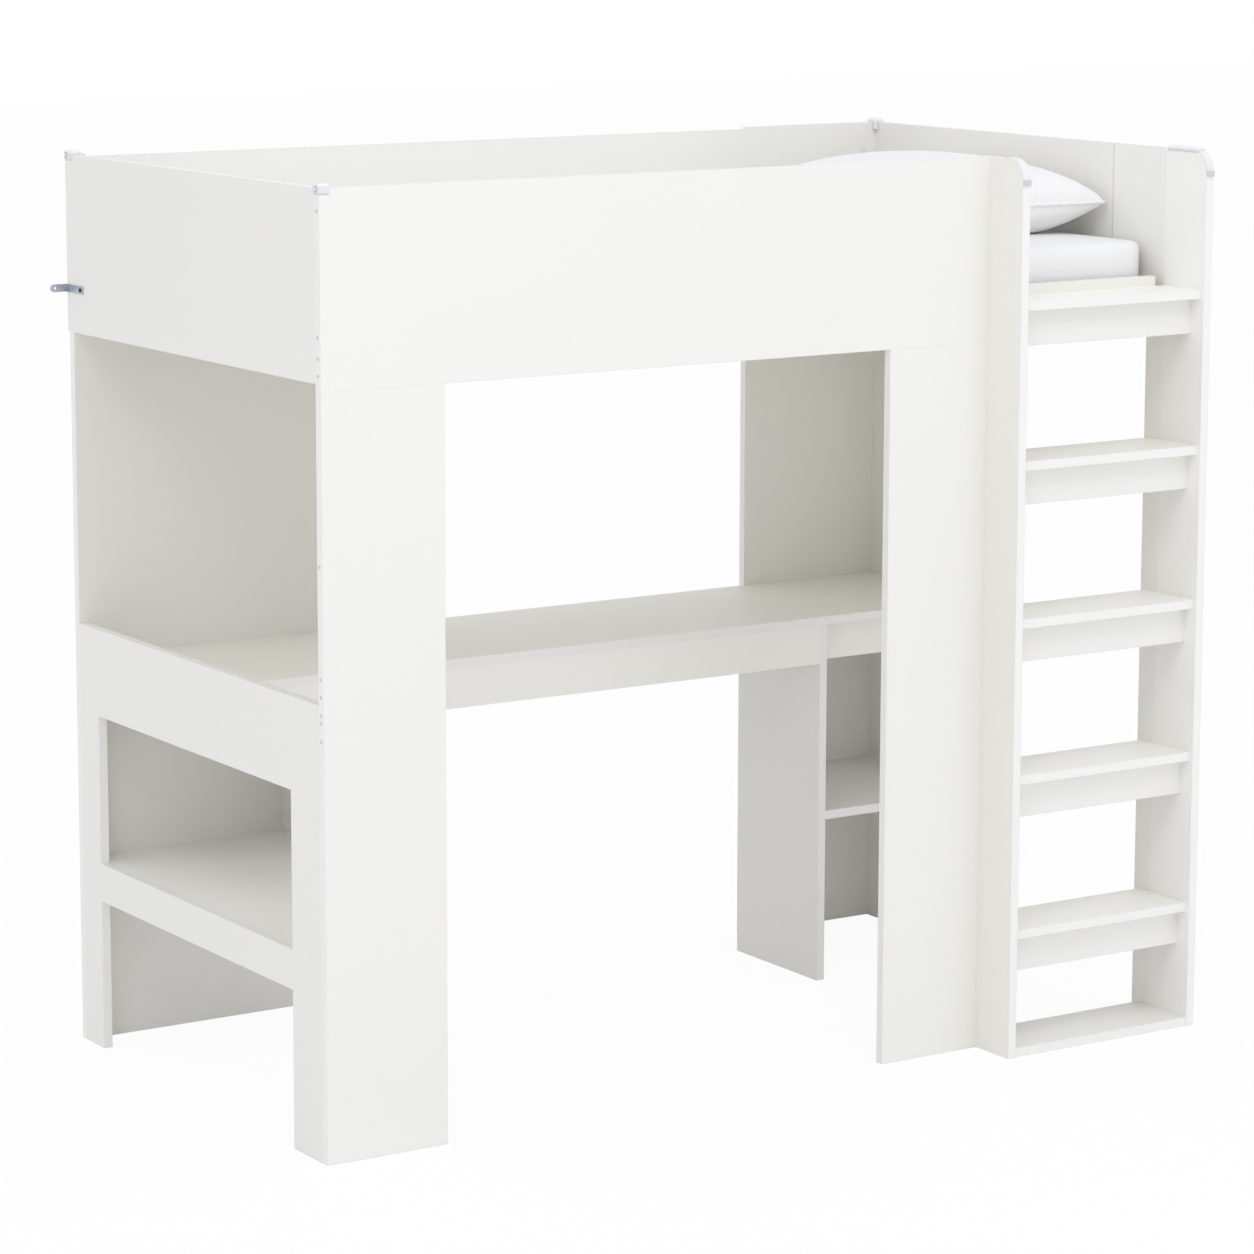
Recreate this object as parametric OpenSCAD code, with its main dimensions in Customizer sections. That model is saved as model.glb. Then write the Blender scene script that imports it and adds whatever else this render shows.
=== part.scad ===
// Loft bed with a desk underneath, in white board.
// X runs along the bed, Y from the front to the rear, Z up from the floor.
// Shapes are written from the outer front left corner, and centred moves them
// so that the origin is under the middle of the whole object, on the floor.

/* [Overall] */
// Outside length of the bed
length = 1926; // [1916:1:1960]
// Depth from the front face to the rear face, without the ladder
depth = 1000; // [998:1:1040]
// Height of the guards' top edge
height = 1750; // [1700:1:1850]
// Thickness of every board
board = 18; // [16:1:18]

/* [Guards] */
// Height of the front guard's lower edge
front_guard_low = 1395; // [1380:1:1400]
// Height of the end and rear guards' lower edge
guard_low = 1408; // [1402:1:1415]
// Drop of the rear guard's top below the other guards
rear_guard_drop = 4.5; // [0:0.5:10]
// How far the end guards pass the rear face
guard_overhang = 8; // [4:1:12]
// Length of the front guard, up to the ladder
front_length = 1458; // [1440:1:1470]

/* [Legs and panels] */
// Width of the front left leg
left_leg = 250; // [200:1:300]
// Width of the front right leg
right_leg = 230; // [200:1:300]
// Width of the back left panel
back_left = 560; // [540:1:620]
// Width of the back right panel
back_right = 336; // [300:1:380]
// Height of the low panel at the left end
end_panel_top = 838; // [800:1:880]
// Depth of the low panel's front post
end_post_front = 106; // [90:1:130]
// Depth of the low panel's rear post
end_post_rear = 77; // [60:1:100]
// Height of the low panel's window above the floor
window_low = 372; // [360:1:400]
// Height of the window's top edge
window_top = 666; // [600:1:700]
// Height of the rail below the window
window_rail = 75; // [50:1:90]

/* [Desk] */
// Height of the desk's upper face
desk_top_z = 770; // [720:1:790]
// Distance of the desk's front edge from the front face
desk_front = 577; // [520:1:620]
// Height of the apron under the desk's front edge
desk_apron_high = 80; // [60:1:100]
// Width inside the left cubby
left_cubby = 425; // [400:1:440]
// Width inside the right cubby
right_cubby = 406; // [380:1:420]
// Depth of the right partition
partition_deep = 294; // [250:1:350]
// Height of the right shelf's upper face
right_shelf_z = 360; // [300:1:400]

/* [Ladder] */
// How far the ladder stands out in front
ladder_reach = 102; // [90:1:120]
// How far the ladder sides reach behind the front face
ladder_back = 68; // [60:1:80]
// Number of treads
treads = 5; // [5:1:5]
// Height of the lowest tread's upper face
first_tread = 252; // [240:1:260]
// Height from one tread to the next
tread_rise = 307; // [300:1:310]
// Height of the apron under each tread
tread_apron_high = 70; // [50:1:80]
// Radius of the ladder sides' top front corner
ladder_round = 40; // [30:1:50]

/* [Bed] */
// Height of the slats' upper face
bed_level = 1445; // [1440:1:1450]
// Height of the rails above the slats
rail_rise = 54; // [40:1:60]
// Number of slats
slats = 11; // [11:1:11]
// Width of a slat
slat_wide = 95; // [70:1:110]
// Length of the mattress
mattress_long = 1880; // [1860:1:1880]
// Width of the mattress
mattress_wide = 920; // [900:1:920]
// Thickness of the mattress
mattress_thick = 125; // [100:1:130]
// Length of the pillow, across the bed
pillow_long = 630; // [600:1:700]
// Width of the pillow, along the bed
pillow_wide = 458; // [400:1:480]
// Height of the pillow's crown
pillow_high = 148; // [120:1:160]

/* [Hidden] */
$fn = 48;

// Colours
board_white = [0.94, 0.94, 0.93];
plastic_white = [0.96, 0.96, 0.97];
plastic_grey = [0.72, 0.73, 0.74];
zinc = [0.62, 0.65, 0.69];
steel = [0.70, 0.70, 0.72];
pine = [0.85, 0.74, 0.56];
linen = [0.95, 0.96, 0.98];

// Planes that the boards share
in_left = board;
in_right = length - board;
in_front = board;
in_rear = depth - board;
guard_rear = depth + guard_overhang;
ladder_x = front_length;
ladder_in = front_length + board;
ladder_front = -ladder_reach;
desk_low = desk_top_z - board;
desk_apron_low = desk_low - desk_apron_high;
right_apron_back = 40;
left_part_x = in_left + left_cubby;
right_part_x = in_right - right_cubby - board;

// Ladder
tread_front = ladder_front + 10;
tread_rear = 52;
apron_front = tread_front + 25;
base_front = ladder_front + 2;
base_rear = 45;
ladder_step_y = 2 * board;
right_side_rear = 180;
cap_skin = 1.5;
cap_lip = 11;
cap_lip_low = 1;
left_cap_rear = -40;

// Bed base
rail_top = bed_level + rail_rise;
ledger_high = 25;
ledger_deep = 25;
slat_low = bed_level - board;
rail_low = slat_low - ledger_high;
slat_end_gap = 2;
entry_rail_gap = 22;
soft_gap = 0.4;
mattress_round = 50;

// Corner caps
cap_wall = 2.5;
cap_leg = 22;
cap_above = 8;
cap_below = 12;
cap_soft = 5;
boss_d = 9;
boss_high = 2.5;
post_d = 12;
post_low = 15;
leg_inset = 0.3;
top_cap_from = -76;
top_cap_to = 15;
top_cap_above = 6;
top_cap_below = 5;
top_cap_soft = 5;

// Wall bracket
strip = 2;
strip_high = 15;
strip_z = 1485;
end_leaf = 72;
wall_leaf = 34;
bracket_hole = 5.2;
bracket_screw_y = guard_rear - 60;
wall_hole_x = -strip - 24;

// Cam fittings: bolt, lock and how deep the bolt is screwed into the face board
bolt_d = 7;
bolt_in = 10;
lock_d = 15;
lock_deep = 13;
lock_from_edge = 34;
end_cam_z = 790;
slack = 0.1;

// Dowels, pins, screws and plugs
dowel_d = 8;
dowel_long = 32;
pin_d = 5;
pin_long = 16;
screw_d = 4;
screw_head = 8;
plug_d = 5;
plug_head = 7;
plug_deep = 10;
plug_proud = 0.6;

// The whole object's outer limits along X and Y
x_min = -strip - wall_leaf;
x_max = length + cap_wall;
y_min = ladder_front - cap_skin - cap_lip_low;
y_max = guard_rear + cap_wall;

// ---------- Helpers ----------

module centred() {
    translate([-(x_min + x_max) / 2, -(y_min + y_max) / 2, 0]) children();
}

// A block between two corners
module block(from, to) {
    translate(from) cube(to - from);
}

// Turns +Z to one of the six axis directions
module aim(way) {
    turn = way.x != 0 ? [0, 90 * way.x, 0] : way.y != 0 ? [-90 * way.y, 0, 0] : [way.z > 0 ? 0 : 180, 0, 0];
    rotate(turn) children();
}

// An outline in Y and Z, as thick as a board, from the plane x
module side_outline(x) {
    translate([x, 0, 0]) rotate([90, 0, 90]) linear_extrude(board) children();
}

// ---------- Cam fittings ----------
// Each is [point on the joint face, way into the edge board, way the lock faces]

guard_cams = [
    for (z = [1520, height - 60]) [[board / 2, in_front, z], [0, 1, 0], [1, 0, 0]],
    for (z = [1520, height - 60]) [[in_left, depth - board / 2, z], [1, 0, 0], [0, -1, 0]],
    for (z = [1520, height - 60]) [[in_right, depth - board / 2, z], [-1, 0, 0], [0, -1, 0]]
];
end_cams = [
    for (z = [150, end_cam_z]) [[board / 2, in_front, z], [0, 1, 0], [1, 0, 0]],
    for (z = [150, end_cam_z]) [[board / 2, in_rear, z], [0, -1, 0], [1, 0, 0]]
];
desk_cams = [
    for (y = [desk_front + 60, in_rear - 60])
        [[in_left, y, desk_top_z - board / 2], [1, 0, 0], [0, 0, -1]],
    for (y = [desk_front + 60, in_rear - 60])
        [[in_right, y, desk_top_z - board / 2], [-1, 0, 0], [0, 0, -1]]
];
shelf_cams = [
    for (y = [in_front + 150, in_rear - 150])
        [[in_left, y, window_low - board / 2], [1, 0, 0], [0, 0, -1]]
];
function tread_top(i) = first_tread + (i - 1) * tread_rise;
function tread_cams(i) = [
    [[ladder_in, -10, tread_top(i) - board / 2], [1, 0, 0], [0, 0, -1]],
    [[in_right, -10, tread_top(i) - board / 2], [-1, 0, 0], [0, 0, -1]]
];
all_tread_cams = [for (i = [1 : treads]) each tread_cams(i)];
all_cams = concat(guard_cams, end_cams, desk_cams, shelf_cams, all_tread_cams);

// The bolt ends just short of its lock, and its hole opens into the lock's pocket
module cam_bolt(cam, extra, end) {
    translate(cam[0] - (bolt_in + extra) * cam[1])
        aim(cam[1]) cylinder(d = bolt_d + 2 * extra, h = bolt_in + extra + end);
}

module cam_lock(cam, extra, proud) {
    floor_of_pocket = board / 2 - lock_deep - extra;
    translate(cam[0] + lock_from_edge * cam[1] + floor_of_pocket * cam[2])
        aim(cam[2]) cylinder(d = lock_d + 2 * extra, h = lock_deep + extra + proud);
}

module cam_cuts(list) {
    for (cam = list) {
        cam_bolt(cam, slack, lock_from_edge);
        cam_lock(cam, slack, 1);
    }
}

// ---------- Dowels ----------
// Each is [middle, way]

leg_dowels = [
    for (x = [60, left_leg - 60, front_length - right_leg + 60, front_length - 60])
        [[x, board / 2, front_guard_low], [0, 0, 1]]
];
rear_dowels = [
    for (x = [80, back_left - 80]) [[x, depth - board / 2, guard_low], [0, 0, 1]]
];
right_dowels = [
    for (y = [desk_front + 60, in_rear - 60]) [[length - board / 2, y, guard_low], [0, 0, 1]],
    for (z = [1480, height - 80]) [[length - board / 2, right_side_rear, z], [0, 1, 0]]
];
all_dowels = concat(leg_dowels, rear_dowels, right_dowels);

module dowel_set(list, extra) {
    for (dowel = list)
        translate(dowel[0] - (dowel_long / 2 + extra) * dowel[1])
            aim(dowel[1]) cylinder(d = dowel_d + 2 * extra, h = dowel_long + 2 * extra);
}

// ---------- Front ----------

plug_heights = [1710, 1490, 1453, 1423, 1086, 885, 853, 820, 807, 773];

module plug_holes() {
    for (z = plug_heights)
        translate([-1, board / 2, z]) aim([1, 0, 0]) cylinder(d = plug_d + 2 * slack, h = plug_deep + 1);
}

module front_guard_panel() {
    color(board_white) centred() difference() {
        block([0, 0, front_guard_low], [front_length, board, height]);
        plug_holes();
        cam_cuts(guard_cams);
        dowel_set(leg_dowels, slack);
    }
}

module front_leg(x, wide) {
    color(board_white) centred() difference() {
        block([x, 0, 0], [x + wide, board, front_guard_low]);
        dowel_set(leg_dowels, slack);
        children();
    }
}

module front_left_leg() {
    front_leg(0, left_leg) {
        plug_holes();
        cam_cuts(end_cams);
    }
}

module front_right_leg() {
    front_leg(front_length - right_leg, right_leg);
}

// The plugs fill the holes and stand a little proud of the edge
module edge_plugs() {
    color(plastic_grey) centred() for (z = plug_heights) {
        translate([-plug_proud, board / 2, z]) aim([1, 0, 0]) cylinder(d = plug_head, h = plug_proud);
        translate([-plug_proud / 2, board / 2, z]) aim([1, 0, 0]) cylinder(d = plug_d, h = plug_deep);
    }
}

// ---------- Left end ----------

module left_end_guard() {
    color(board_white) centred() difference() {
        block([0, in_front, guard_low], [board, guard_rear, height]);
        cam_cuts(guard_cams);
        translate([-1, bracket_screw_y, strip_z + strip_high / 2])
            aim([1, 0, 0]) cylinder(d = screw_d + 2 * slack, h = board - 2);
    }
}

module left_end_panel() {
    window_from = in_front + end_post_front;
    window_to = in_rear - end_post_rear;
    color(board_white) centred() difference() {
        block([0, in_front, 0], [board, in_rear, end_panel_top]);
        block([-1, window_from, window_low], [board + 1, window_to, window_top]);
        block([-1, window_from, -1], [board + 1, window_to, window_low - window_rail]);
        cam_cuts(end_cams);
        cam_cuts(desk_cams);
        cam_cuts(shelf_cams);
    }
}

// ---------- Rear ----------

module back_left_panel() {
    color(board_white) centred() difference() {
        block([0, in_rear, 0], [back_left, depth, guard_low]);
        cam_cuts(end_cams);
        dowel_set(rear_dowels, slack);
    }
}

module rear_guard_panel() {
    color(board_white) centred() difference() {
        block([in_left, in_rear, guard_low], [in_right - back_right, depth, height - rear_guard_drop]);
        cam_cuts(guard_cams);
        dowel_set(rear_dowels, slack);
    }
}

module back_right_panel() {
    color(board_white) centred() difference() {
        block([in_right - back_right, in_rear, 0], [in_right, depth, height]);
        cam_cuts(guard_cams);
    }
}

// ---------- Right end ----------

module right_end_guard() {
    color(board_white) centred() difference() {
        block([in_right, right_side_rear, guard_low], [length, guard_rear, height]);
        cam_cuts(guard_cams);
        dowel_set(right_dowels, slack);
    }
}

module right_end_panel() {
    color(board_white) centred() difference() {
        block([in_right, desk_front, 0], [length, depth, guard_low]);
        cam_cuts(desk_cams);
        dowel_set(right_dowels, slack);
        shelf_pin_set(slack);
    }
}

// ---------- Ladder ----------

// Outline of a ladder side, with its top front corner rounded: it is narrow
// or wide above the height step_z, where its rear edge is at the distance top_rear
module ladder_outline(step_z, top_rear) {
    translate([ladder_front, 0]) square([ladder_back - ladder_front, step_z]);
    difference() {
        translate([ladder_front, step_z - 1]) square([top_rear - ladder_front, height - step_z + 1]);
        translate([ladder_front - 1, height - ladder_round]) square(ladder_round + 1);
    }
    translate([ladder_front + ladder_round, height - ladder_round]) circle(ladder_round);
}

module ladder_left_side() {
    color(board_white) centred() difference() {
        side_outline(ladder_x) ladder_outline(front_guard_low, ladder_step_y);
        cam_cuts(all_tread_cams);
    }
}

module ladder_right_side() {
    color(board_white) centred() difference() {
        side_outline(in_right) ladder_outline(guard_low, right_side_rear);
        cam_cuts(all_tread_cams);
        dowel_set(right_dowels, slack);
    }
}

// A thin strip that wraps the rounded corner, from y = rear to a thicker lip below the corner
module ladder_cap_outline(rear) {
    centre = [ladder_front + ladder_round, height - ladder_round];
    translate(centre) intersection() {
        difference() {
            circle(ladder_round + cap_skin);
            circle(ladder_round);
        }
        translate([-2 * ladder_round, 0])
            square([2 * ladder_round + min(rear - centre.x, 0), 2 * ladder_round]);
    }
    if (rear > centre.x) translate([centre.x, height]) square([rear - centre.x, cap_skin]);
    translate([ladder_front - cap_skin - cap_lip_low, centre.y - cap_lip + 2])
        square([cap_skin + cap_lip_low, cap_lip]);
}

module ladder_cap(x, rear) {
    color(plastic_white) centred() side_outline(x) ladder_cap_outline(rear);
}

module tread(i) {
    top = tread_top(i);
    rear = i == treads ? in_front : tread_rear;
    color(board_white) centred() difference() {
        block([ladder_in, tread_front, top - board], [in_right, rear, top]);
        cam_cuts(tread_cams(i));
    }
}

module tread_apron(i) {
    top = tread_top(i) - board;
    color(board_white) centred()
        block([ladder_in, apron_front, top - tread_apron_high], [in_right, apron_front + board, top]);
}

module ladder_base_board() {
    color(board_white) centred() block([ladder_in, base_front, 0], [in_right, base_rear, board]);
}

module entry_rail() {
    color(board_white) centred()
        block([ladder_in, in_front, rail_low], [in_right - entry_rail_gap, 2 * board, rail_top]);
}

// ---------- Desk ----------

module desk_top() {
    color(board_white) centred() difference() {
        block([in_left, desk_front, desk_low], [in_right, in_rear, desk_top_z]);
        cam_cuts(desk_cams);
    }
}

// The right partition's front edge runs up to the desk top between two aprons. The left
// one is flush with it, and the right one is set back
module desk_apron() {
    right_front = desk_front + right_apron_back;
    color(board_white) centred() {
        block([in_left, desk_front, desk_apron_low], [right_part_x, desk_front + board, desk_low]);
        block([right_part_x + board, right_front, desk_apron_low], [in_right, right_front + board, desk_low]);
    }
}

// An upright under the left part of the desk, notched round the apron
module left_partition() {
    right = left_part_x + board;
    color(board_white) centred() difference() {
        block([left_part_x, desk_front, window_low - board], [right, in_rear, desk_low]);
        block([left_part_x - 1, desk_front - 1, desk_apron_low],
            [right + 1, desk_front + board, desk_low + 1]);
    }
}

module right_partition() {
    rear = desk_front + partition_deep;
    color(board_white) centred() difference() {
        block([right_part_x, desk_front, 0], [right_part_x + board, rear, desk_low]);
        shelf_pin_set(slack);
    }
}

// The left shelf is as wide as the leg in front of the desk, and as wide as the cubby under it
module left_shelf() {
    low = window_low - board;
    outline = [
        [in_left, in_front], [left_leg, in_front], [left_leg, desk_front],
        [left_part_x, desk_front], [left_part_x, in_rear], [in_left, in_rear]
    ];
    color(board_white) centred() difference() {
        translate([0, 0, low]) linear_extrude(board) polygon(outline);
        cam_cuts(shelf_cams);
    }
}

// The right shelf narrows behind the partition to the width of the back right panel
module right_shelf() {
    partition_rear = desk_front + partition_deep;
    outline = [
        [right_part_x + board, desk_front], [in_right, desk_front], [in_right, in_rear],
        [length - back_right, in_rear], [length - back_right, partition_rear],
        [right_part_x + board, partition_rear]
    ];
    color(board_white) centred()
        translate([0, 0, right_shelf_z - board]) linear_extrude(board) polygon(outline);
}

// Pins in the partition and in the end panel, under the right shelf
module shelf_pin_set(extra) {
    z = right_shelf_z - board - pin_d / 2;
    for (y = [desk_front + 50, desk_front + partition_deep - 50]) {
        translate([right_part_x + board - pin_long / 2 - extra, y, z])
            aim([1, 0, 0]) cylinder(d = pin_d + 2 * extra, h = pin_long + 2 * extra);
        translate([in_right - pin_long / 2 - extra, y, z])
            aim([1, 0, 0]) cylinder(d = pin_d + 2 * extra, h = pin_long + 2 * extra);
    }
}

module shelf_pins() {
    color(steel) centred() shelf_pin_set(0);
}

// ---------- Bed base ----------

module front_side_rail() {
    color(board_white) centred() difference() {
        block([in_left, in_front, rail_low], [ladder_x, 2 * board, rail_top]);
        screw_set(front_screws, slack);
    }
}

module rear_side_rail() {
    color(board_white) centred() difference() {
        block([in_left, in_rear - board, rail_low], [in_right, in_rear, rail_top]);
        screw_set(rear_screws, slack);
    }
}

module ledger(y) {
    color(pine) centred() block([in_left, y, rail_low], [in_right, y + ledger_deep, slat_low]);
}

module front_ledger() {
    ledger(2 * board);
}

module rear_ledger() {
    ledger(in_rear - board - ledger_deep);
}

module slat(i) {
    pitch = (in_right - in_left) / slats;
    middle = in_left + (i - 0.5) * pitch;
    color(pine) centred() block(
        [middle - slat_wide / 2, 2 * board + slat_end_gap, slat_low],
        [middle + slat_wide / 2, in_rear - board - slat_end_gap, bed_level]);
}

// ---------- Screws ----------
// Each is [middle of the head's outer face, way of the tip]

screw_xs = [120, 540, 960, 1380];
front_screws = [for (x = screw_xs) [[x, 2 * board, rail_top - 25], [0, -1, 0]]];
rear_screws = [for (x = screw_xs) [[x, in_rear - board, rail_top - 25], [0, 1, 0]]];
bracket_screws = [[[-strip - 1.8, bracket_screw_y, strip_z + strip_high / 2], [1, 0, 0]]];

module screw(head, way, extra) {
    translate(head) aim(way) {
        translate([0, 0, -extra]) cylinder(d = screw_head + 2 * extra, h = 1.8 + 2 * extra);
        cylinder(d = screw_d + 2 * extra, h = board - 2 + extra);
    }
}

module screw_set(list, extra) {
    for (item = list) screw(item[0], item[1], extra);
}

module screws() {
    color(steel) centred() screw_set(concat(front_screws, rear_screws, bracket_screws), 0);
}

// ---------- Fittings ----------

module cam_locks() {
    color(steel) centred() for (cam = all_cams) cam_lock(cam, 0, 0);
}

module cam_bolts() {
    color(steel) centred() for (cam = all_cams)
        cam_bolt(cam, 0, lock_from_edge - lock_d / 2 - slack);
}

module dowels() {
    color(pine) centred() dowel_set(all_dowels, 0);
}

// ---------- Plastic caps ----------

// A block between two corners with every edge rounded
module soft_block(from, to, r) {
    hull() for (x = [from.x + r, to.x - r], y = [from.y + r, to.y - r], z = [from.z + r, to.z - r])
        translate([x, y, z]) sphere(r, $fn = 24);
}

// The guard boards near the corners, which the caps clip over
module guard_tops() {
    low = height - 100;
    block([0, 0, low], [100, board, height]);
    block([0, 0, low], [board, guard_rear, height]);
    block([board - 1, in_rear, low], [100, depth, height - rear_guard_drop]);
    block([in_right - 100, in_rear, low], [in_right + 1, depth, height]);
    block([in_right, right_side_rear, low], [length, guard_rear, height]);
}

// A cap over the corner at corner, with a leg along X and a leg along Y. way is the
// signs from the corner into the bed, over is how far the leg along Y passes the face
module corner_cap(corner, way, over) {
    post = [corner.x + way.x * (board + post_d / 3), corner.y + way.y * (board + over + post_d / 3)];
    color(plastic_white) centred() difference() {
        union() {
            cap_part(corner, way, [cap_leg, board + over + cap_wall], 0);
            cap_part(corner, way, [board + cap_wall, cap_leg + over], leg_inset);
            translate([post.x, post.y, height - post_low]) cylinder(d = post_d, h = post_low + 2);
            children();
        }
        guard_tops();
    }
}

module cap_part(corner, way, reach, inset) {
    a = [corner.x - way.x * cap_wall, corner.y - way.y * cap_wall];
    b = [corner.x + way.x * reach.x, corner.y + way.y * reach.y];
    soft_block([min(a.x, b.x) + inset, min(a.y, b.y) + inset, height - cap_below + inset],
        [max(a.x, b.x) - inset, max(a.y, b.y) - inset, height + cap_above - inset], cap_soft);
}

// The round boss on a left cap's end face
module cap_boss(y) {
    translate([-1 - boss_high, y, height - 1]) aim([1, 0, 0]) cylinder(d = boss_d, h = boss_high);
}

module front_left_corner_cap() {
    corner_cap([0, 0], [1, 1], 0.6) cap_boss(board / 2 - 1);
}

module rear_left_corner_cap() {
    corner_cap([0, guard_rear], [1, -1], guard_overhang) cap_boss(guard_rear - board / 2 + 1);
}

module rear_right_corner_cap() {
    corner_cap([length, guard_rear], [-1, -1], guard_overhang);
}

// A longer cap on the top edge of the right ladder side
module ladder_top_cap() {
    color(plastic_white) centred() difference() {
        soft_block([in_right - cap_wall, top_cap_from, height - top_cap_below],
            [length + cap_wall, top_cap_to, height + top_cap_above], top_cap_soft);
        side_outline(in_right) ladder_outline(guard_low, right_side_rear);
    }
}

// ---------- Wall bracket ----------

module wall_bracket() {
    top = strip_z + strip_high;
    color(zinc) centred() difference() {
        union() {
            block([-strip, guard_rear - end_leaf, strip_z], [0, guard_rear + strip, top]);
            block([-strip - wall_leaf + strip_high / 2, guard_rear, strip_z], [0, guard_rear + strip, top]);
            translate([-strip - wall_leaf + strip_high / 2, guard_rear, strip_z + strip_high / 2])
                aim([0, 1, 0]) cylinder(d = strip_high, h = strip);
        }
        translate([-strip - 1, bracket_screw_y, strip_z + strip_high / 2])
            aim([1, 0, 0]) cylinder(d = screw_d + 2 * slack, h = strip + 2);
        translate([wall_hole_x, guard_rear - 1, strip_z + strip_high / 2])
            aim([0, 1, 0]) cylinder(d = bracket_hole, h = strip + 2);
    }
}

// ---------- Mattress and pillow ----------

module mattress() {
    x = (length - mattress_long) / 2;
    y = in_rear - board - 1 - mattress_wide;
    z = bed_level + soft_gap;
    r = mattress_round;
    far = [x + mattress_long - r, y + mattress_wide - r];
    color(linen) centred() hull() for (px = [x + r, far.x], py = [y + r, far.y])
        translate([px, py, z]) cylinder(r = r, h = mattress_thick);
}

// Full above and below its seam, with the corners drawn out to tips at the seam's height
module pillow() {
    middle = [in_right - 6 - pillow_wide / 2, 495];
    z = bed_level + mattress_thick + 2 * soft_gap;
    seam = 59;
    tip = 8;
    color(linen) centred() translate([middle.x, middle.y, z]) hull() for (sx = [-1, 1], sy = [-1, 1]) {
        translate([sx * (pillow_wide / 2 - tip), sy * (pillow_long / 2 - tip), seam]) sphere(tip, $fn = 16);
        translate([sx * pillow_wide * 0.22, sy * pillow_long * 0.27, 0]) {
            pillow_lobe(pillow_high - 60, 60);
            pillow_lobe(40, 40);
        }
    }
}

// A quarter of the filling, its middle at z and half_high above and below it
module pillow_lobe(z, half_high) {
    translate([0, 0, z]) scale([pillow_wide * 0.23, pillow_long * 0.2, half_high]) sphere(1, $fn = 24);
}

// ---------- Assembly ----------

front_guard_panel();
front_left_leg();
front_right_leg();
left_end_guard();
left_end_panel();
back_left_panel();
rear_guard_panel();
back_right_panel();
right_end_guard();
right_end_panel();
ladder_left_side();
ladder_right_side();
ladder_cap(ladder_x, left_cap_rear);  // ladder_left_cap
ladder_cap(in_right, top_cap_from);  // ladder_right_cap
for (i = [1 : treads]) {
    tread(i);
    tread_apron(i);
}
ladder_base_board();
entry_rail();
desk_top();
desk_apron();
left_partition();
right_partition();
left_shelf();
right_shelf();
front_side_rail();
rear_side_rail();
front_ledger();
rear_ledger();
for (i = [1 : slats]) {
    slat(i);
}
front_left_corner_cap();
rear_left_corner_cap();
rear_right_corner_cap();
ladder_top_cap();
edge_plugs();
wall_bracket();
cam_locks();
cam_bolts();
dowels();
shelf_pins();
screws();
mattress();
pillow();
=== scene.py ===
"""Looks of the loft bed with desk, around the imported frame: materials, soft goods, floor, light, camera."""

import math

import bpy
import numpy as np
from mathutils import Euler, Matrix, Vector

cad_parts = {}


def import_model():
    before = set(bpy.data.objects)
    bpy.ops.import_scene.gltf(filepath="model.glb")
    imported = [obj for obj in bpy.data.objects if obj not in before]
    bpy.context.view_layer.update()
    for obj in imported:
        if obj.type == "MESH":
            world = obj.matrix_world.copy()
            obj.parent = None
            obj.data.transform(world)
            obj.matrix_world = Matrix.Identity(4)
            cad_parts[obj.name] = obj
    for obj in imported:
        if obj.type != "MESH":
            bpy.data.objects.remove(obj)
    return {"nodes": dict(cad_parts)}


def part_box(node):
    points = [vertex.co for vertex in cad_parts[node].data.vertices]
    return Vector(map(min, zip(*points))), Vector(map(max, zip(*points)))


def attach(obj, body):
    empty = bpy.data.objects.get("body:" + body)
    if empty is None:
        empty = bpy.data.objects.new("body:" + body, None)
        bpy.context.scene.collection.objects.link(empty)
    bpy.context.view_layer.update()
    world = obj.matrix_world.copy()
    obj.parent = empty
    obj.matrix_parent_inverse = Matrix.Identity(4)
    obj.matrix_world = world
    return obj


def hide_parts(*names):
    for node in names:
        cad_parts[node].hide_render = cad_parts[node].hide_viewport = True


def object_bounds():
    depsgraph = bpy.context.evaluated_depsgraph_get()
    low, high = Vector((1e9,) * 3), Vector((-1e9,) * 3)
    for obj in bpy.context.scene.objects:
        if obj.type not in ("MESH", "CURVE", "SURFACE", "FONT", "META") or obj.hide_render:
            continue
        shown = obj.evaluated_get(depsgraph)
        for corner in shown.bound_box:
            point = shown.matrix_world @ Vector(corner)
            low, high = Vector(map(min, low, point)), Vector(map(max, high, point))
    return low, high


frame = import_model()
size_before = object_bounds()
nodes = frame["nodes"]
scene = bpy.context.scene


# ---------- Node material helper ----------


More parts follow.
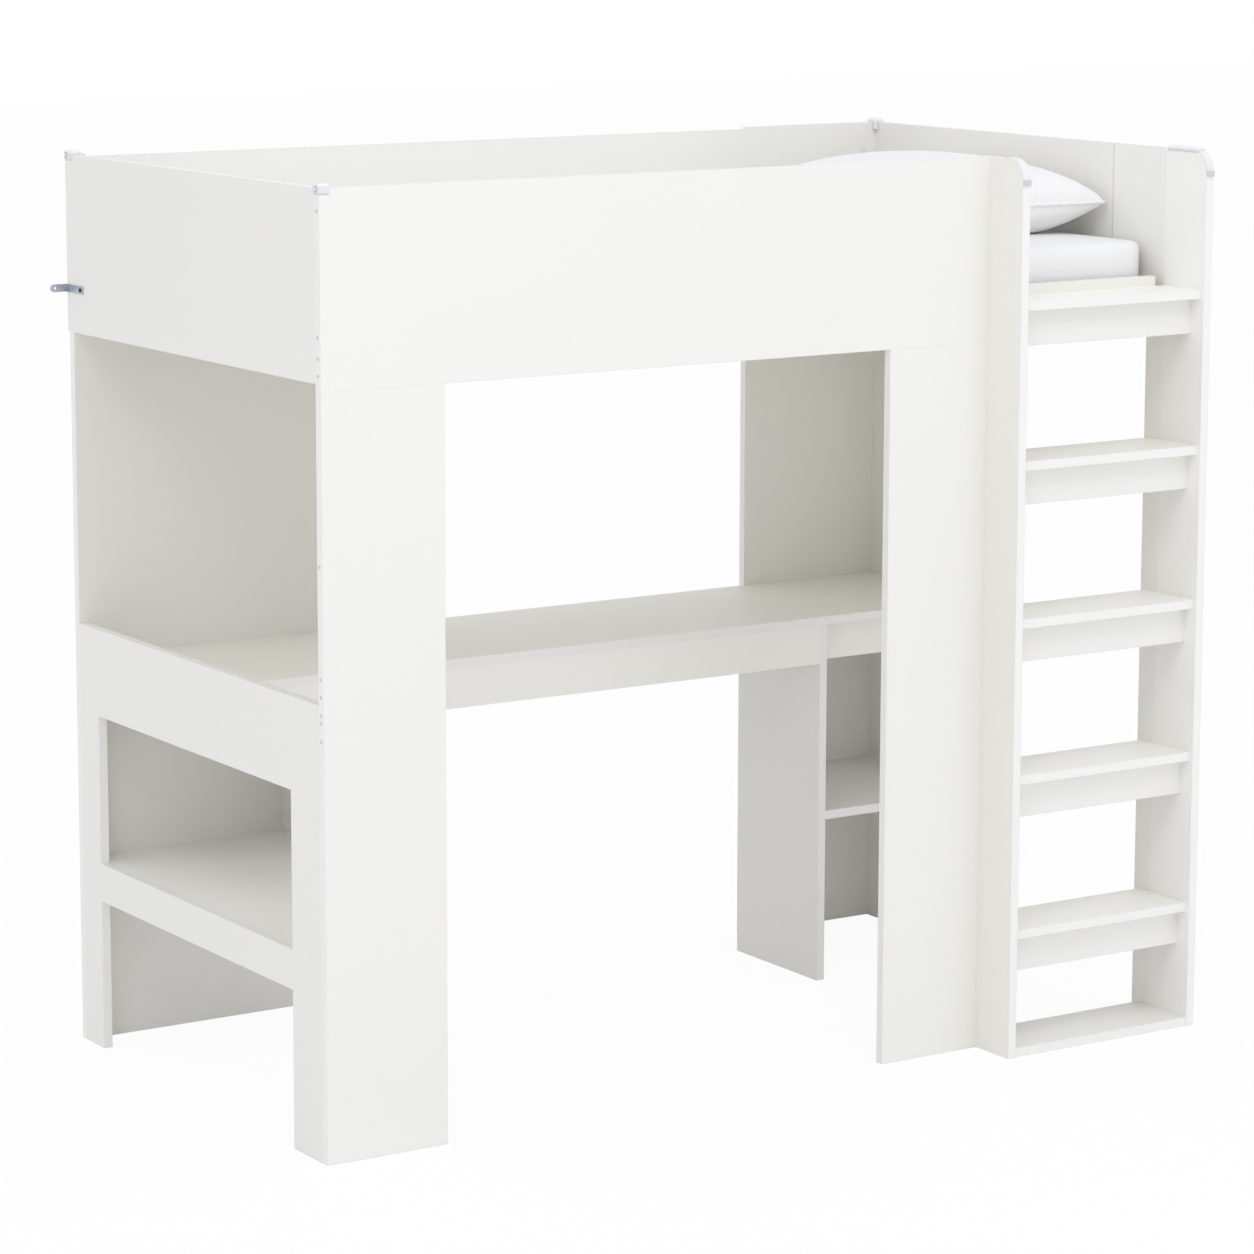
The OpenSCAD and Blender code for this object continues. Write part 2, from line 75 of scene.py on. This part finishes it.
class Graph:
    """A node material being built. Every constant is set on the socket that uses it."""

    def __init__(self, name):
        self.mat = bpy.data.materials.new(name)
        self.mat.use_nodes = True
        self.tree = self.mat.node_tree
        self.shader = self.tree.nodes["Principled BSDF"]
        coords = self.tree.nodes.new("ShaderNodeTexCoord")
        self.here = coords.outputs["Object"]
        self.facing = coords.outputs["Normal"]

    def put(self, socket, value):
        """Links a socket to the input socket, or sets a plain value on it."""
        if isinstance(value, bpy.types.NodeSocket):
            self.tree.links.new(value, socket)
        else:
            socket.default_value = value

    def node(self, kind, inputs, **settings):
        """A new shader node. inputs are its sockets by name or number, settings its properties."""
        n = self.tree.nodes.new("ShaderNode" + kind)
        for key, value in settings.items():
            setattr(n, key, value)
        for key, value in inputs.items():
            self.put(n.inputs[key], value)
        return n

    def math(self, operation, a, b=0.0):
        return self.node("Math", {0: a, 1: b}, operation=operation).outputs[0]

    def stretch(self, x, y, z):
        """The object's own coordinates, each axis multiplied."""
        return self.node("Mapping", {"Vector": self.here, "Scale": (x, y, z)}).outputs[0]

    def noise(self, scale, detail=2.0, rough=0.5, distortion=0.0, at=None):
        return self.node("TexNoise", {"Vector": at or self.here, "Scale": scale, "Detail": detail,
                                      "Roughness": rough, "Distortion": distortion}).outputs["Fac"]

    def span(self, value, low, high, start=0.3, stop=0.7):
        """value, which runs from start to stop, as low to high."""
        return self.node("MapRange", {"Value": value, "From Min": start, "From Max": stop,
                                      "To Min": low, "To Max": high}).outputs[0]

    def mix(self, amount, a, b):
        """Colour a, turning into colour b as amount goes from 0 to 1."""
        n = self.node("Mix", {}, data_type="RGBA")
        self.put(n.inputs["Factor"], amount)
        for socket, value in ((n.inputs[6], a), (n.inputs[7], b)):
            self.put(socket, value if isinstance(value, bpy.types.NodeSocket) else (*value, 1.0))
        return n.outputs[2]

    def bump(self, height, strength, distance, normal=None):
        inputs = {"Height": height, "Strength": strength, "Distance": distance}
        if normal is not None:
            inputs["Normal"] = normal
        return self.node("Bump", inputs).outputs[0]

    def soft_edges(self, radius):
        """(rounded normal, how much of an edge this is)"""
        rounded = self.node("Bevel", {"Radius": radius}, samples=4).outputs[0]
        true = self.tree.nodes.new("ShaderNodeNewGeometry").outputs["Normal"]
        same = self.node("VectorMath", {0: rounded, 1: true}, operation="DOT_PRODUCT")
        return rounded, self.span(same.outputs["Value"], 1.0, 0.0, 0.8, 1.0)

    def part(self, vector, axis):
        """One component of a vector, by its axis letter."""
        return self.node("SeparateXYZ", {0: vector}).outputs["XYZ".index(axis)]

    def finish(self, **inputs):
        """Sets the surface's inputs, spaces in their names written as underscores."""
        for key, value in inputs.items():
            self.put(self.shader.inputs[key.replace("_", " ")], value)
        return self.mat


# ---------- Materials ----------


BOARD_TONES = ((0.864, 0.857, 0.804), (0.882, 0.875, 0.822), (0.854, 0.847, 0.792))
BAND_TONE = (0.899, 0.894, 0.855)
# Painted highlight on the boards' rounded edges.
BOARD_EDGE_HIGHLIGHT = (0.93, 0.93, 0.92)
# Painted light on the -X faces of the right end, towards the front.
PAINTED_LIGHT_TONE = (0.93, 0.926, 0.89)
# Painted shade in the joint where two boards meet end to end.
JOINT_SHADE_TONE = (0.52, 0.51, 0.49)
JOINT_HALF_WIDTH = 0.0006
JOINT_FADE = 0.0026


def board_material(name, thin, shade=1.0, joint=None, front=None):
    """White melamine on a board whose thin axis is thin, with an edge band on its narrow faces.
    shade makes the flat faces a little paler or darker: painted light where it is above 1, painted
    shade where it is below 1, for boards that stand in more or less light. joint is the Y where two
    boards meet end to end, which shows as a fine dark line of painted shade in the joint. The faces
    towards -X are a little paler in front of the joint, and paler again in front of the Y called
    front: painted light. Rounded edges carry a painted highlight."""
    g = Graph("white_board_" + name)
    rounded, edge = g.soft_edges(0.0009)
    across = g.math("ABSOLUTE", g.part(g.facing, thin))
    band = g.span(across, 1.0, 0.0, 0.4, 0.6)
    cloud = g.noise(1.7, 3.0)
    speck = g.noise(70.0, 3.0, 0.6)
    # shade scales the face tones: painted light above 1, painted shade below 1
    plain = [tuple(shade * c for c in colour) for colour in BOARD_TONES]
    tone = g.mix(g.span(cloud, 0.0, 1.0), plain[0], plain[1])
    tone = g.mix(g.span(speck, 0.0, 0.35, 0.45, 0.8), tone, plain[2])
    tone = g.mix(band, tone, BAND_TONE)
    # painted highlight along the rounded edges
    tone = g.mix(g.math("MULTIPLY", edge, 0.5), tone, BOARD_EDGE_HIGHLIGHT)
    # painted light: the faces towards -X paler in front of the joint and the front
    if front is not None:
        y = g.part(g.here, "Y")
        ahead = g.math("ADD", g.span(y, 0.5, 0.0, front - 0.001, front + 0.001),
                       g.span(y, 0.25, 0.0, joint - 0.001, joint + 0.001))
        inner = g.span(g.part(g.facing, "X"), 1.0, 0.0, -0.7, -0.3)
        tone = g.mix(g.math("MULTIPLY", ahead, inner), tone, PAINTED_LIGHT_TONE)
    # a fine dark line at the joint: painted shade in the gap between the boards
    if joint is not None:
        away = g.math("ABSOLUTE", g.math("SUBTRACT", g.part(g.here, "Y"), joint))
        tone = g.mix(g.span(away, 0.55, 0.0, JOINT_HALF_WIDTH, JOINT_FADE), tone, JOINT_SHADE_TONE)
    rough = g.math("ADD", g.span(speck, 0.40, 0.50), g.math("MULTIPLY", band, -0.1))
    peel = g.noise(420.0, 2.0, 0.55)
    return g.finish(Base_Color=tone, Roughness=rough, IOR=1.46,
                    Normal=g.bump(peel, 0.09, 0.0004, rounded))


def pine_material():
    """Planed pine with its grain along Y, faint growth rings and a few knots."""
    g = Graph("pine")
    rounded, edge = g.soft_edges(0.001)
    along = g.noise(1.0, 6.0, 0.6, 0.4, g.stretch(34.0, 3.0, 60.0))
    rings = g.node("TexWave", {"Vector": g.stretch(1.0, 0.08, 1.0), "Scale": 26.0,
                               "Distortion": 5.0, "Detail": 3.0, "Detail Scale": 1.4}).outputs["Fac"]
    knots = g.noise(4.0, 1.0, at=g.stretch(2.4, 1.0, 2.4))
    tone = g.mix(g.span(along, 0.0, 1.0, 0.3, 0.75), (0.78, 0.70, 0.53), (0.86, 0.80, 0.65))
    tone = g.mix(g.math("MULTIPLY", rings, 0.35), tone, (0.68, 0.56, 0.38))
    tone = g.mix(g.span(knots, 0.0, 0.45, 0.62, 0.8), tone, (0.44, 0.29, 0.15))
    # painted highlight along the rounded edges
    tone = g.mix(g.math("MULTIPLY", edge, 0.35), tone, (0.89, 0.80, 0.62))
    return g.finish(Base_Color=tone, Roughness=g.span(along, 0.52, 0.68),
                    Normal=g.bump(along, 0.25, 0.0006, rounded))


BOSS_RING_RADIUS = 0.0056
BOSS_BELOW_TOP = 0.009
BOSS_FROM_SIDE = 0.0105


def cap_material(bosses, end_face):
    """Glossy moulded plastic on the corner caps. It is darker underneath, which is painted shade, and in
    a ring round each of bosses, (y, z) centres of the round ends that stand out to the left of
    end_face. Its rounded edges carry a painted highlight."""
    g = Graph("cap_plastic")
    rounded, edge = g.soft_edges(0.0006)
    flow = g.noise(24.0, 2.0)
    grain = g.noise(900.0, 2.0)
    tone = g.mix(g.span(flow, 0.0, 1.0), (0.85, 0.85, 0.85), (0.89, 0.89, 0.89))
    # painted highlight along the rounded edges
    tone = g.mix(g.math("MULTIPLY", edge, 0.3), tone, (0.94, 0.94, 0.94))
    # painted shade on the faces turned downwards
    tone = g.mix(g.span(g.part(g.facing, "Z"), 0.6, 0.0, -0.8, 0.5), tone, (0.50, 0.50, 0.50))
    for y, z in bosses:
        flat = g.stretch(0.0, 1.0, 1.0)
        far = g.node("VectorMath", {0: flat, 1: (0.0, y, z)}, operation="DISTANCE").outputs["Value"]
        off = g.math("ABSOLUTE", g.math("SUBTRACT", far, BOSS_RING_RADIUS))
        ring = g.math("MULTIPLY", g.span(off, 0.7, 0.0, 0.0005, 0.0013),
                      g.span(g.part(g.here, "X"), 1.0, 0.0, end_face - 0.0012, end_face - 0.0006))
        tone = g.mix(ring, tone, (0.30, 0.30, 0.30))
    return g.finish(Base_Color=tone, Roughness=g.span(flow, 0.14, 0.22), IOR=1.5,
                    Subsurface_Weight=0.08, Subsurface_Radius=(0.004, 0.004, 0.004),
                    Normal=g.bump(grain, 0.05, 0.0002, rounded))


STRIP_LIP_HEIGHT = 0.011


def strip_material(lip_top):
    """Matt plastic strip on a ladder side's rounded corner; below lip_top it is darker."""
    g = Graph("strip_plastic")
    rounded, edge = g.soft_edges(0.0005)
    flow = g.noise(30.0, 2.0)
    grain = g.noise(700.0, 3.0)
    lip = g.span(g.part(g.here, "Z"), 1.0, 0.0, lip_top - 0.0015, lip_top + 0.0015)
    tone = g.mix(g.span(flow, 0.0, 1.0), (0.800, 0.802, 0.800), (0.850, 0.851, 0.848))
    tone = g.mix(lip, tone, (0.63, 0.63, 0.63))
    # painted highlight along the rounded edges
    tone = g.mix(g.math("MULTIPLY", edge, 0.4), tone, (0.85, 0.855, 0.87))
    return g.finish(Base_Color=tone, Roughness=g.span(flow, 0.32, 0.44),
                    Normal=g.bump(grain, 0.12, 0.0003, rounded))


def plug_material(name, dark, light, edge_highlight):
    """Moulded plastic of a small plug or cover disc, with a painted highlight on its edges."""
    g = Graph(name)
    rounded, edge = g.soft_edges(0.0003)
    flow = g.noise(160.0, 2.0)
    tone = g.mix(g.span(flow, 0.0, 1.0), dark, light)
    # painted highlight along the rounded edges
    tone = g.mix(g.math("MULTIPLY", edge, 0.4), tone, edge_highlight)
    return g.finish(Base_Color=tone, Roughness=g.span(flow, 0.38, 0.5),
                    Normal=g.bump(g.noise(1500.0, 2.0), 0.1, 0.0002, rounded))


def metal_material(name, dark, light, rough, drawn, outside=None):
    """Bare or plated metal. drawn is how fine its drawing marks are along X, Y and Z. To the left
    of the X called outside it is nearly black."""
    g = Graph(name)
    rounded, edge = g.soft_edges(0.0004)
    marks = g.noise(1.0, 5.0, 0.65, at=g.stretch(*drawn))
    bloom = g.noise(55.0, 3.0, 0.6, 0.6)
    tone = g.mix(g.span(bloom, 0.0, 1.0, 0.35, 0.65), dark, light)
    # painted highlight along the rounded edges
    tone = g.mix(g.math("MULTIPLY", edge, 0.6), tone, (0.86, 0.87, 0.89))
    if outside is not None:
        black = g.span(g.part(g.here, "X"), 0.9, 0.0, outside - 0.0004, outside)
        tone = g.mix(black, tone, (0.03, 0.03, 0.03))
    return g.finish(Base_Color=tone, Metallic=0.92, Roughness=g.span(bloom, rough, rough + 0.16),
                    Normal=g.bump(marks, 0.12, 0.0003, rounded))


# A wave texture at scale 1 has its bands this far apart.
BAND_SPACING = 0.314


def cloth_material(name, dark, light, thread, crease):
    """Plain-woven cotton: threads along all three axes, slubs, soft creases and a sheen.
    thread is the spacing of the weave and crease the depth of the folds."""
    g = Graph(name)
    wave = {"Vector": g.here, "Scale": BAND_SPACING / thread, "Distortion": 0.4, "Detail": 1.0}
    threads = [g.node("TexWave", wave, bands_direction=axis).outputs["Fac"] for axis in "XYZ"]
    weave = g.math("ADD", g.math("ADD", threads[0], threads[1]), threads[2])
    slub = g.noise(1.0, 3.0, 0.6, at=g.stretch(45.0, 400.0, 45.0))
    folds = g.noise(6.5, 3.0, 0.45, 0.35)
    cloud = g.noise(3.0, 2.0)
    tone = g.mix(g.span(cloud, 0.0, 1.0), dark, light)
    tone = g.mix(g.span(weave, 0.0, 0.12, 0.6, 2.4), tone, dark)
    tone = g.mix(g.span(slub, 0.0, 0.10, 0.5, 0.8), tone, (0.95, 0.95, 0.96))
    normal = g.bump(folds, 0.35, crease)
    normal = g.bump(slub, 0.12, 0.0006, normal)
    normal = g.bump(weave, 0.25, 0.0004, normal)
    return g.finish(Base_Color=tone, Roughness=g.span(slub, 0.78, 0.9), Sheen_Weight=0.25,
                    Sheen_Roughness=0.4, Normal=normal)


def paint(obj, material):
    obj.data.materials.clear()
    obj.data.materials.append(material)


right_board = board_material("right", "X", 1.0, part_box("right_end_guard")[0].y,
                             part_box("front_guard_panel")[1].y)
boards = {axis: board_material(axis, axis) for axis in "XYZ"}
# Paler and darker copies of the white board: painted light and painted shade for boards that stand in more or
# less light.
pale = {axis: board_material("pale_" + axis, axis, 1.07) for axis in "YZ"}
dim = {axis: board_material("dim_" + axis, axis, 0.93) for axis in "XY"}
pine = pine_material()
front_cap, rear_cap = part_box("front_left_corner_cap"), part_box("rear_left_corner_cap")
end_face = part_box("left_end_panel")[0].x
boss_z = front_cap[1].z - BOSS_BELOW_TOP
cap_plastic = cap_material(((front_cap[0].y + BOSS_FROM_SIDE, boss_z),
                            (rear_cap[1].y - BOSS_FROM_SIDE, boss_z)), end_face)
strip_plastic = strip_material(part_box("ladder_right_cap")[0].z + STRIP_LIP_HEIGHT)
plug_plastic = plug_material("plug_plastic", (0.60, 0.61, 0.60), (0.68, 0.69, 0.68),
                             (0.80, 0.81, 0.80))
lock_cover = plug_material("lock_cover", (0.79, 0.785, 0.745), (0.83, 0.825, 0.785),
                           (0.87, 0.865, 0.83))
zinc = metal_material("zinc", (0.45, 0.48, 0.53), (0.62, 0.65, 0.70), 0.3, (60.0, 60.0, 700.0))
STEEL_MARKS = (260.0, 260.0, 90.0)
steel = metal_material("steel", (0.58, 0.58, 0.59), (0.72, 0.72, 0.73), 0.24, STEEL_MARKS)
screw_steel = metal_material("screw_steel", (0.55, 0.55, 0.56), (0.68, 0.68, 0.69), 0.28,
                             STEEL_MARKS, end_face)
mattress_cloth = cloth_material("mattress_cover", (0.865, 0.866, 0.855), (0.893, 0.892, 0.880),
                                0.0020, 0.0040)
pillow_cloth = cloth_material("pillow_cover", (0.883, 0.881, 0.868), (0.910, 0.908, 0.897),
                              0.0013, 0.0060)

SPECIAL = {
    "front_left_corner_cap": cap_plastic, "rear_left_corner_cap": cap_plastic,
    "rear_right_corner_cap": cap_plastic, "ladder_top_cap": cap_plastic,
    "ladder_left_cap": strip_plastic, "ladder_right_cap": strip_plastic,
    "edge_plugs": plug_plastic, "wall_bracket": zinc, "cam_locks": lock_cover,
    "cam_bolts": steel, "shelf_pins": steel, "screws": screw_steel,
    "dowels": pine, "front_ledger": pine, "rear_ledger": pine,
    "mattress": mattress_cloth, "pillow": pillow_cloth,
    "right_end_guard": right_board, "ladder_right_side": right_board,
    # Boards with painted light (pale) and painted shade (dim)
    "desk_top": pale["Z"], "left_shelf": pale["Z"], "desk_apron": pale["Y"],
    "back_left_panel": dim["Y"], "right_partition": dim["X"],
    **{f"tread_{i}": pale["Z"] for i in range(1, 6)},
}
for name, obj in nodes.items():
    low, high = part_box(name)
    thin = "XYZ"[min(range(3), key=lambda i: high[i] - low[i])]
    if name in SPECIAL:
        paint(obj, SPECIAL[name])
    elif name.startswith("slat_"):
        paint(obj, pine)
    else:
        paint(obj, boards[thin])


# ---------- Soft goods ----------


CLOTH_FRAMES = 20


def coords_of(mesh):
    """The mesh's points as an array of rows."""
    co = np.empty(len(mesh.vertices) * 3, np.float32)
    mesh.vertices.foreach_get("co", co)
    return co.reshape(-1, 3).astype(float)


def set_coords(mesh, co):
    mesh.vertices.foreach_set("co", np.asarray(co, np.float32).ravel())
    mesh.update()


def shown(name, mesh):
    obj = bpy.data.objects.new(name, mesh)
    scene.collection.objects.link(obj)
    return obj


def smooth_faces(mesh):
    mesh.polygons.foreach_set("use_smooth", [True] * len(mesh.polygons))


def inflate(obj, pressure, most, stiff):
    """Fills obj by a cloth simulation; no point ends up further than most from where it began."""
    start = coords_of(obj.data)
    cloth = obj.modifiers.new("fill", "CLOTH")
    s = cloth.settings
    s.quality = 4
    s.mass = 0.3
    s.tension_stiffness = s.compression_stiffness = stiff
    s.shear_stiffness = stiff * 0.5
    s.bending_stiffness = 2.0
    s.use_pressure = True
    s.uniform_pressure_force = pressure
    s.effector_weights.gravity = 0.0
    cloth.collision_settings.use_collision = False
    cloth.point_cache.frame_start, cloth.point_cache.frame_end = 1, CLOTH_FRAMES
    for f in range(1, CLOTH_FRAMES + 1):
        scene.frame_set(f)
    done = obj.evaluated_get(bpy.context.evaluated_depsgraph_get())
    end = coords_of(done.data)
    scene.frame_set(1)
    obj.modifiers.remove(cloth)
    move = end - start
    length = np.linalg.norm(move, axis=1, keepdims=True)
    set_coords(obj.data, start + move * (most * np.tanh(length / most) / np.maximum(length, 1e-9)))


def relax(mesh):
    """Rounds a mesh off by moving each point halfway to the middle of its neighbours."""
    co = coords_of(mesh)
    edges = np.empty(len(mesh.edges) * 2, np.int32)
    mesh.edges.foreach_get("vertices", edges)
    a, b = edges.reshape(-1, 2).T
    count = np.bincount(a, minlength=len(co)) + np.bincount(b, minlength=len(co))
    total = np.zeros_like(co)
    for i in range(3):
        total[:, i] = (np.bincount(a, weights=co[b, i], minlength=len(co))
                       + np.bincount(b, weights=co[a, i], minlength=len(co)))
    co += (total / count[:, None] - co) * 0.5
    set_coords(mesh, co)


def piping(name, path, radius, material):
    """A closed round cord of cloth along path, as a mesh."""
    points = np.asarray(path, float)
    ring = 10
    ahead = np.roll(points, -1, 0) - np.roll(points, 1, 0)
    ahead /= np.linalg.norm(ahead, axis=1, keepdims=True)
    side = np.cross(ahead, (0.0, 0.0, 1.0))
    side /= np.linalg.norm(side, axis=1, keepdims=True)
    over = np.cross(side, ahead)
    mesh = bpy.data.meshes.new(name)
    co = [tuple(points[i] + radius * (math.cos(t) * side[i] + math.sin(t) * over[i]))
          for i in range(len(points)) for t in (2 * math.pi * k / ring for k in range(ring))]
    total = len(points)
    faces = [(i * ring + k, i * ring + (k + 1) % ring,
              (i + 1) % total * ring + (k + 1) % ring, (i + 1) % total * ring + k)
             for i in range(total) for k in range(ring)]
    mesh.from_pydata(co, [], faces)
    smooth_faces(mesh)
    obj = shown(name, mesh)
    paint(obj, material)
    return obj


COVER_GAP = 0.004
EDGE_BAND = 0.25
EDGE_FALL = 0.003
CLEARANCE = 0.0002


def make_mattress():
    """The cover round the mattress: the CAD block a little smaller, softened and filled, its top
    falling slightly towards the edges."""
    low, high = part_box("mattress")
    middle = (low + high) / 2
    mesh = nodes["mattress"].data.copy()
    mesh.materials.clear()
    obj = shown("mattress_soft", mesh)
    half = (high - low) / 2
    co = coords_of(mesh) - np.array(middle)
    co *= np.array([(half[i] - COVER_GAP) / half[i] for i in range(3)])
    set_coords(mesh, co + np.array(middle))
    remesh = obj.modifiers.new("even", "REMESH")
    remesh.mode = "VOXEL"
    remesh.voxel_size = 0.012
    done = bpy.data.meshes.new_from_object(obj.evaluated_get(bpy.context.evaluated_depsgraph_get()))
    obj.modifiers.clear()
    obj.data = done
    bpy.data.meshes.remove(mesh)
    relax(done)
    inflate(obj, 4.0, COVER_GAP * 0.9, 40.0)
    co = coords_of(done)
    reach = (co - np.array(middle)) / np.array(half)
    past = np.maximum(np.abs(reach[:, 0]) * half.x - half.x, np.abs(reach[:, 1]) * half.y - half.y)
    edge = np.clip((past + EDGE_BAND) / EDGE_BAND, 0, 1)
    top = reach[:, 2] > 0.3
    co[top, 2] -= EDGE_FALL * edge[top] ** 2
    co[:, 2] = np.clip(co[:, 2], low.z + CLEARANCE, high.z - CLEARANCE)
    set_coords(done, co)
    smooth_faces(done)
    paint(obj, mattress_cloth)
    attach(obj, "mattress")
    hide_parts("mattress")


SEAM_HEIGHT = 0.061
RIPPLE_HEIGHT = 0.0016
PIPING_RADIUS = 0.0034


def make_pillow():
    """Two panels sewn together along a piped seam, full in the middle and drawn out at the corners."""
    low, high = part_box("pillow")
    middle = (low + high) / 2
    half_x, half_y = (high.x - low.x) / 2 - 0.002, (high.y - low.y) / 2 - 0.002
    seam = low.z + SEAM_HEIGHT
    crown, drop = high.z - seam - 0.002, seam - low.z
    step = 0.006
    nu, nv = round(2 * half_x / step), round(2 * half_y / step)
    u, v = np.meshgrid(np.linspace(-1, 1, nu + 1), np.linspace(-1, 1, nv + 1), indexing="ij")
    x = middle.x + half_x * u * (1 - 0.075 * (1 - v**2) * np.abs(u) ** 3)
    y = middle.y + half_y * v * (1 - 0.055 * (1 - u**2) * np.abs(v) ** 3)
    full = (1 - u**2) * (1 - v**2)
    ripple = RIPPLE_HEIGHT * np.sin(38 * u + 3 * np.sin(5 * v)) * (1 - u**2) * v**6
    ripple += RIPPLE_HEIGHT * np.sin(52 * v + 3 * np.sin(4 * u)) * (1 - v**2) * u**6
    upper = seam + crown * full**0.355 + ripple
    lower = seam - drop * np.minimum(1.0, 1.5 * full**0.447) - ripple
    co, index_up, index_down = [], {}, {}
    for i in range(nu + 1):
        for j in range(nv + 1):
            index_up[i, j] = len(co)
            co.append((x[i, j], y[i, j], upper[i, j]))
            if i in (0, nu) or j in (0, nv):
                index_down[i, j] = index_up[i, j]
            else:
                index_down[i, j] = len(co)
                co.append((x[i, j], y[i, j], lower[i, j]))
    faces = []
    for i in range(nu):
        for j in range(nv):
            cell = [(i, j), (i + 1, j), (i + 1, j + 1), (i, j + 1)]
            faces.append([index_up[c] for c in cell])
            faces.append([index_down[c] for c in reversed(cell)])
    border = ([(i, 0) for i in range(nu)] + [(nu, j) for j in range(nv)]
              + [(i, nv) for i in range(nu, 0, -1)] + [(0, j) for j in range(nv, 0, -1)])
    border = [index_up[c] for c in border]
    mesh = bpy.data.meshes.new("pillow_soft")
    mesh.from_pydata(co, [], faces)
    obj = shown("pillow_soft", mesh)
    inflate(obj, 4.0, 0.006, 15.0)
    co = coords_of(mesh)
    co[:, 0] = np.clip(co[:, 0], low.x + 0.001, high.x - 0.001)
    co[:, 2] = np.clip(co[:, 2], low.z + 0.0004, high.z + 0.004)
    set_coords(mesh, co)
    smooth_faces(mesh)
    paint(obj, pillow_cloth)
    seam_path = co[border]
    for _ in range(3):
        seam_path = 0.5 * seam_path + 0.25 * (np.roll(seam_path, 1, 0) + np.roll(seam_path, -1, 0))
    rounder = obj.modifiers.new("rounder", "SUBSURF")
    rounder.levels = rounder.render_levels = 1
    cord = piping("pillow_piping", seam_path, PIPING_RADIUS, pillow_cloth)
    for piece in (obj, cord):
        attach(piece, "pillow")
    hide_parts("pillow")


make_mattress()
make_pillow()


# ---------- Floor, light and camera ----------

FLOOR_REACH = 30.0
FLOOR_Z = -0.0005
FLOOR_GLOW = 0.93
CAMERA_FROM_CORNER = Vector((-3.5748, -6.4921, 2.3243))
CAMERA_DOWN = 9.282
CAMERA_TURN = 32.117
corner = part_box("front_left_leg")[0]
middle = (size_before[0] + size_before[1]) / 2


def floor():
    """A pale floor that hardly shows its own shadows to the camera, so it joins the backdrop."""
    mesh = bpy.data.meshes.new("floor")
    mesh.from_pydata([(-FLOOR_REACH, -FLOOR_REACH, FLOOR_Z), (FLOOR_REACH, -FLOOR_REACH, FLOOR_Z),
                      (FLOOR_REACH, FLOOR_REACH, FLOOR_Z), (-FLOOR_REACH, FLOOR_REACH, FLOOR_Z)],
                     [], [(0, 1, 2, 3)])
    obj = shown("floor", mesh)
    g = Graph("floor")
    g.finish(Base_Color=g.mix(g.noise(0.8), (0.92, 0.92, 0.92), (0.94, 0.94, 0.935)), Roughness=0.8)
    glow = g.node("Emission", {"Color": (1.0, 1.0, 1.0, 1.0), "Strength": 1.0})
    seen = g.node("LightPath", {}).outputs["Is Camera Ray"]
    both = g.node("MixShader", {0: g.math("MULTIPLY", seen, FLOOR_GLOW),
                                1: g.shader.outputs[0], 2: glow.outputs[0]})
    out = next(n for n in g.tree.nodes if n.type == "OUTPUT_MATERIAL")
    g.tree.links.new(both.outputs[0], out.inputs["Surface"])
    paint(obj, g.mat)


def softbox(name, offset, wide, tall, power, colour):
    """A soft rectangular light, offset from the object's middle and turned to it."""
    data = bpy.data.lights.new(name, "AREA")
    data.shape = "RECTANGLE"
    data.size, data.size_y = wide, tall
    data.energy = power
    data.color = colour
    obj = bpy.data.objects.new(name, data)
    obj.location = middle + Vector(offset)
    obj.rotation_euler = (middle - obj.location).to_track_quat("-Z", "Y").to_euler()
    obj.visible_camera = False
    scene.collection.objects.link(obj)


def world(strength, colour):
    """Even studio light from all round, in front of a plain white background."""
    w = bpy.data.worlds.new("studio")
    w.use_nodes = True
    tree = w.node_tree
    light = tree.nodes["Background"]
    light.inputs["Color"].default_value = (*colour, 1.0)
    light.inputs["Strength"].default_value = strength
    backdrop = tree.nodes.new("ShaderNodeBackground")
    backdrop.inputs["Color"].default_value = (1.0, 1.0, 1.0, 1.0)
    backdrop.inputs["Strength"].default_value = 1.0
    both = tree.nodes.new("ShaderNodeMixShader")
    tree.links.new(tree.nodes.new("ShaderNodeLightPath").outputs["Is Camera Ray"], both.inputs[0])
    tree.links.new(light.outputs[0], both.inputs[1])
    tree.links.new(backdrop.outputs[0], both.inputs[2])
    tree.links.new(both.outputs[0], tree.nodes["World Output"].inputs["Surface"])
    scene.world = w


floor()
world(0.872, (0.987, 0.990, 1.034))
softbox("key", (0.0, -3.0, 4.5), 3.0, 2.2, 40.0, (0.978, 0.990, 1.045))
softbox("side", (-3.5, -3.0, 4.0), 2.0, 1.6, 26.0, (0.985, 0.990, 1.020))
softbox("low", (1.5, -6.5, 0.3), 4.0, 3.0, 16.0, (0.970, 0.985, 1.060))

lens = bpy.data.cameras.new("camera")
lens.sensor_width = 36.0
lens.lens = 123.04
lens.shift_x, lens.shift_y = 0.05, -0.06
lens.clip_start, lens.clip_end = 0.1, 100.0
camera = bpy.data.objects.new("camera", lens)
camera.location = corner + CAMERA_FROM_CORNER
camera.rotation_euler = Euler((math.radians(90 - CAMERA_DOWN), 0.0, math.radians(-CAMERA_TURN)))
scene.collection.objects.link(camera)
scene.camera = camera
scene.view_settings.view_transform = "Standard"
